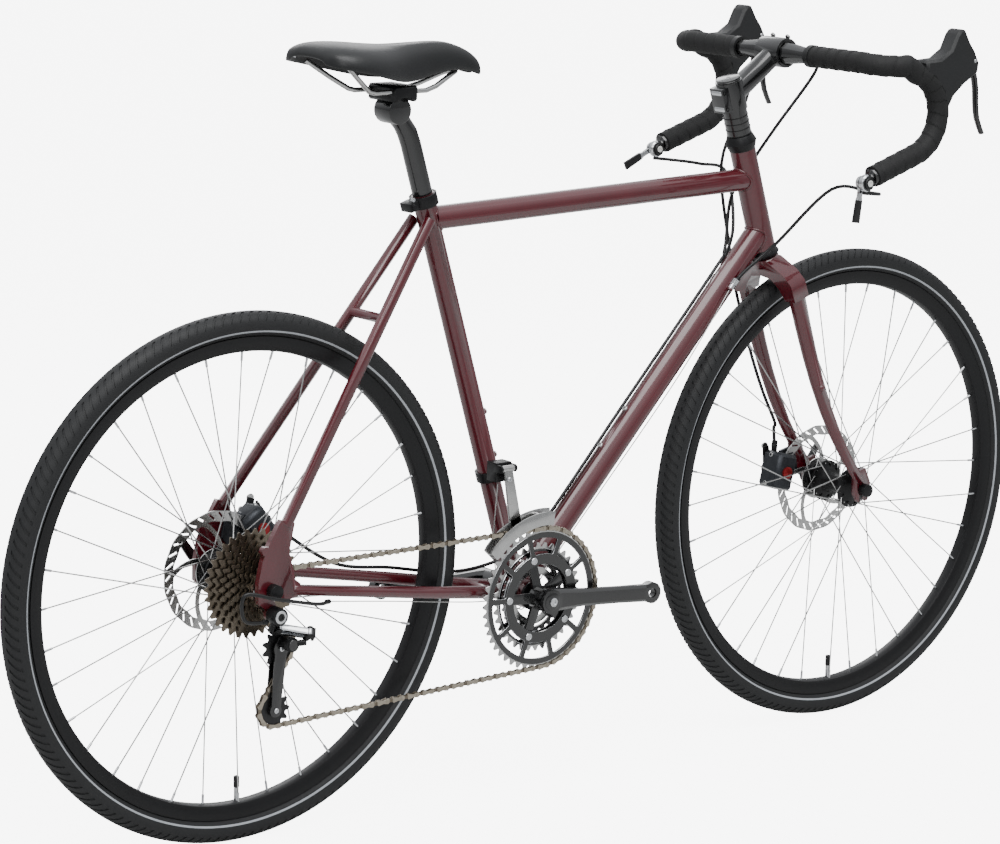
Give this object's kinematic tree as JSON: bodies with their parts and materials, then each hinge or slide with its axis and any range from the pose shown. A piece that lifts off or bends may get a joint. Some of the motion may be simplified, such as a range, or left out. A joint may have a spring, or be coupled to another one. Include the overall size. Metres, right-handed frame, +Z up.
{
  "type": "touring bicycle with drop bars",
  "caption": "Burgundy steel touring bicycle with drop handlebar, bar-end shift levers, triple crankset, derailleurs and mechanical disc brakes; no pedals.",
  "frame": {"origin": "on the ground, midway between the wheel axles, in the centre plane", "axes": "+X forwards along the ground, +Y to the rider's left, +Z up"},
  "size_m": [1.762, 0.463, 1.0343],
  "materials": {
    "frame_paint": "gloss",
    "black_alloy": "satin",
    "stainless": "satin",
    "nickel_steel": "satin",
    "silver_alloy": "polished",
    "black_plastic": "matte",
    "tyre": "matte",
    "bar_tape": "matte",
    "hood_rubber": "matte",
    "saddle_cover": "satin"
  },
  "bodies": {
    "frame": {"head_tube": "frame_paint", "top_tube": "frame_paint", "down_tube": "frame_paint", "seat_tube": "frame_paint", "rear_stays": "frame_paint", "headset_cup_upper": "black_alloy", "headset_cup_lower": "black_alloy", "seat_collar": "black_alloy", "bottom_bracket_cartridge": "black_alloy", "front_derailleur_clamp": "black_alloy", "rear_brake_caliper": "black_alloy", "rear_brake_cable": "black_plastic", "rear_shift_cable": "black_plastic", "front_shift_cable": "black_plastic", "rear_axle": "black_alloy", "chain": "nickel_steel"},
    "steering": {"fork": "frame_paint", "stem": "black_alloy", "handlebar": "black_alloy", "bar_tape_left": "bar_tape", "bar_tape_right": "bar_tape", "brake_hood_left": "hood_rubber", "brake_hood_right": "hood_rubber", "front_brake_caliper": "black_alloy", "front_brake_cable": "black_plastic", "front_axle": "black_alloy"},
    "front_wheel": {"front_tyre": "tyre", "front_rim": "black_alloy", "front_hub": "black_alloy", "front_rotor": "stainless"},
    "rear_wheel": {"rear_tyre": "tyre", "rear_rim": "black_alloy", "rear_hub": "black_alloy", "rear_rotor": "stainless"},
    "freewheel_cassette": {"cassette": "nickel_steel"},
    "crankset": {"crank_arm_right": "black_alloy", "crank_arm_left": "black_alloy", "chainring_outer": "nickel_steel", "chainring_middle": "nickel_steel", "chainring_inner": "nickel_steel"},
    "post": {"seatpost": "black_alloy"},
    "saddle_assembly": {"saddle_clamp": "black_alloy", "saddle_rails": "stainless", "saddle": "saddle_cover"},
    "left_brake_lever": {"brake_lever_left": "black_alloy"},
    "right_brake_lever": {"brake_lever_right": "black_alloy"},
    "left_shift_lever": {"shift_lever_left": "black_alloy"},
    "right_shift_lever": {"shift_lever_right": "black_alloy"},
    "front_brake_arm": {"front_caliper_arm": "black_alloy"},
    "rear_brake_arm": {"rear_caliper_arm": "black_alloy"},
    "front_release_lever": {"front_qr_lever": "black_alloy"},
    "rear_release_lever": {"rear_qr_lever": "black_alloy"},
    "front_derailleur": {"front_derailleur_cage": "stainless"},
    "rd_upper_knuckle": {"rd_b_knuckle": "black_alloy"},
    "rd_outer_link": {"rd_link_outer": "silver_alloy"},
    "rd_inner_link": {"rd_link_inner": "silver_alloy"},
    "rd_lower_knuckle": {"rd_p_knuckle": "black_alloy"},
    "rd_chain_cage": {"rd_cage": "black_alloy"},
    "upper_pulley": {"guide_pulley": "black_plastic"},
    "lower_pulley": {"tension_pulley": "black_plastic"}
  },
  "joints": [
    {"name": "steering", "type": "hinge", "parent": "frame", "child": "steering", "pos_m": [0.34924, 0, 0.76145], "axis": [-0.309, 0, 0.9511], "range_deg": [-60, 60], "deforming": ["rear_brake_cable", "rear_shift_cable", "front_shift_cable"]},
    {"name": "front_wheel_spin", "type": "hinge", "parent": "steering", "child": "front_wheel", "pos_m": [0.533, 0, 0.348], "axis": [0, 1, 0], "continuous": true},
    {"name": "rear_wheel_spin", "type": "hinge", "parent": "frame", "child": "rear_wheel", "pos_m": [-0.533, 0, 0.348], "axis": [0, 1, 0], "continuous": true},
    {"name": "crank_spin", "type": "hinge", "parent": "frame", "child": "crankset", "pos_m": [-0.07172, 0, 0.269], "axis": [0, 1, 0], "continuous": true, "deforming": ["chain"]},
    {"name": "cassette_spin", "type": "hinge", "parent": "frame", "child": "freewheel_cassette", "pos_m": [-0.533, 0, 0.348], "axis": [0, 1, 0], "continuous": true, "deforming": ["chain"]},
    {"name": "seatpost_height", "type": "slide", "parent": "frame", "child": "post", "axis": [-0.3007, 0, 0.9537], "range_m": [-0.06, 0.06]},
    {"name": "saddle_tilt", "type": "hinge", "parent": "post", "child": "saddle_assembly", "pos_m": [-0.29911, 0, 0.93946], "axis": [0, 1, 0], "range_deg": [-12, 12]},
    {"name": "left_brake", "type": "hinge", "parent": "steering", "child": "left_brake_lever", "pos_m": [0.53823, 0.217, 0.98971], "axis": [0, 1, 0], "range_deg": [0, 32], "stiffness_Nm_per_rad": 0.8, "springref_deg": -17.19},
    {"name": "right_brake", "type": "hinge", "parent": "steering", "child": "right_brake_lever", "pos_m": [0.53823, -0.217, 0.98971], "axis": [0, 1, 0], "range_deg": [0, 32], "stiffness_Nm_per_rad": 0.8, "springref_deg": -17.19},
    {"name": "front_brake_arm", "type": "hinge", "parent": "steering", "child": "front_brake_arm", "pos_m": [0.4578, 0.0653, 0.36675], "axis": [0, 1, 0], "range_deg": [0, 22]},
    {"name": "rear_brake_arm", "type": "hinge", "parent": "frame", "child": "rear_brake_arm", "pos_m": [-0.46751, 0.078, 0.39735], "axis": [0, 1, 0], "range_deg": [0, 22]},
    {"name": "left_shift", "type": "hinge", "parent": "steering", "child": "left_shift_lever", "pos_m": [0.34968, 0.217, 0.82925], "axis": [0, -1, 0], "range_deg": [0, 75], "deforming": ["front_shift_cable", "chain"]},
    {"name": "right_shift", "type": "hinge", "parent": "steering", "child": "right_shift_lever", "pos_m": [0.34968, -0.217, 0.82925], "axis": [0, 1, 0], "range_deg": [0, 75], "deforming": ["rear_shift_cable", "chain"]},
    {"name": "front_release", "type": "hinge", "parent": "steering", "child": "front_release_lever", "pos_m": [0.533, 0.071, 0.348], "axis": [-0.8192, 0, 0.5736], "range_deg": [0, 170]},
    {"name": "rear_release", "type": "hinge", "parent": "frame", "child": "rear_release_lever", "pos_m": [-0.533, 0.0905, 0.348], "axis": [-0.7986, 0, -0.6018], "range_deg": [0, 170]},
    {"name": "front_derailleur_swing", "type": "hinge", "parent": "frame", "child": "front_derailleur", "pos_m": [-0.12872, -0.045, 0.454], "axis": [1, 0, 0], "range_deg": [0, 10], "deforming": ["front_shift_cable", "chain"]},
    {"name": "rd_body_swing", "type": "hinge", "parent": "frame", "child": "rd_upper_knuckle", "pos_m": [-0.5315, -0.0845, 0.317], "axis": [0, 1, 0], "range_deg": [0, 20], "stiffness_Nm_per_rad": 4, "springref_deg": -17.19, "deforming": ["rear_shift_cable", "chain"]},
    {"name": "rd_outer_link", "type": "hinge", "parent": "rd_upper_knuckle", "child": "rd_outer_link", "pos_m": [-0.5235, -0.0788, 0.30025], "axis": [0.436, 0.54, 0.72], "range_deg": [0, 50], "deforming": ["rear_shift_cable", "chain"]},
    {"name": "rd_inner_link", "type": "hinge", "parent": "rd_upper_knuckle", "child": "rd_inner_link", "pos_m": [-0.5235, -0.0712, 0.29455], "axis": [0.436, 0.54, 0.72], "range_deg": [0, 50], "deforming": ["rear_shift_cable", "chain"]},
    {"name": "rd_lower_knuckle", "type": "hinge", "parent": "rd_outer_link", "child": "rd_lower_knuckle", "pos_m": [-0.48857, -0.09663, 0.29247], "axis": [0.436, 0.54, 0.72], "range_deg": [-50, 0], "deforming": ["chain"]},
    {"name": "rd_cage_swing", "type": "hinge", "parent": "rd_lower_knuckle", "child": "rd_chain_cage", "pos_m": [-0.508, -0.0625, 0.276], "axis": [0, -1, 0], "range_deg": [0, 60], "stiffness_Nm_per_rad": 0.8, "springref_deg": -28.65, "deforming": ["chain"]},
    {"name": "upper_pulley_spin", "type": "hinge", "parent": "rd_chain_cage", "child": "upper_pulley", "pos_m": [-0.513, -0.0625, 0.268], "axis": [0, 1, 0], "continuous": true, "deforming": ["chain"]},
    {"name": "lower_pulley_spin", "type": "hinge", "parent": "rd_chain_cage", "child": "lower_pulley", "pos_m": [-0.5205, -0.0625, 0.187], "axis": [0, 1, 0], "continuous": true, "deforming": ["chain"]}
  ],
  "couplings": [
    {"joint": "cassette_spin", "follows": "crank_spin", "ratio": 4.3636},
    {"joint": "lower_pulley_spin", "follows": "crank_spin", "ratio": 4.3636},
    {"joint": "upper_pulley_spin", "follows": "crank_spin", "ratio": -4.3636},
    {"joint": "front_brake_arm", "follows": "left_brake", "ratio": 0.6875},
    {"joint": "rear_brake_arm", "follows": "right_brake", "ratio": 0.6875},
    {"joint": "front_derailleur_swing", "follows": "left_shift", "ratio": 0.13333},
    {"joint": "rd_outer_link", "follows": "right_shift", "ratio": 0.66666},
    {"joint": "rd_inner_link", "follows": "right_shift", "ratio": 0.66666},
    {"joint": "rd_lower_knuckle", "follows": "right_shift", "ratio": -0.66666}
  ]
}
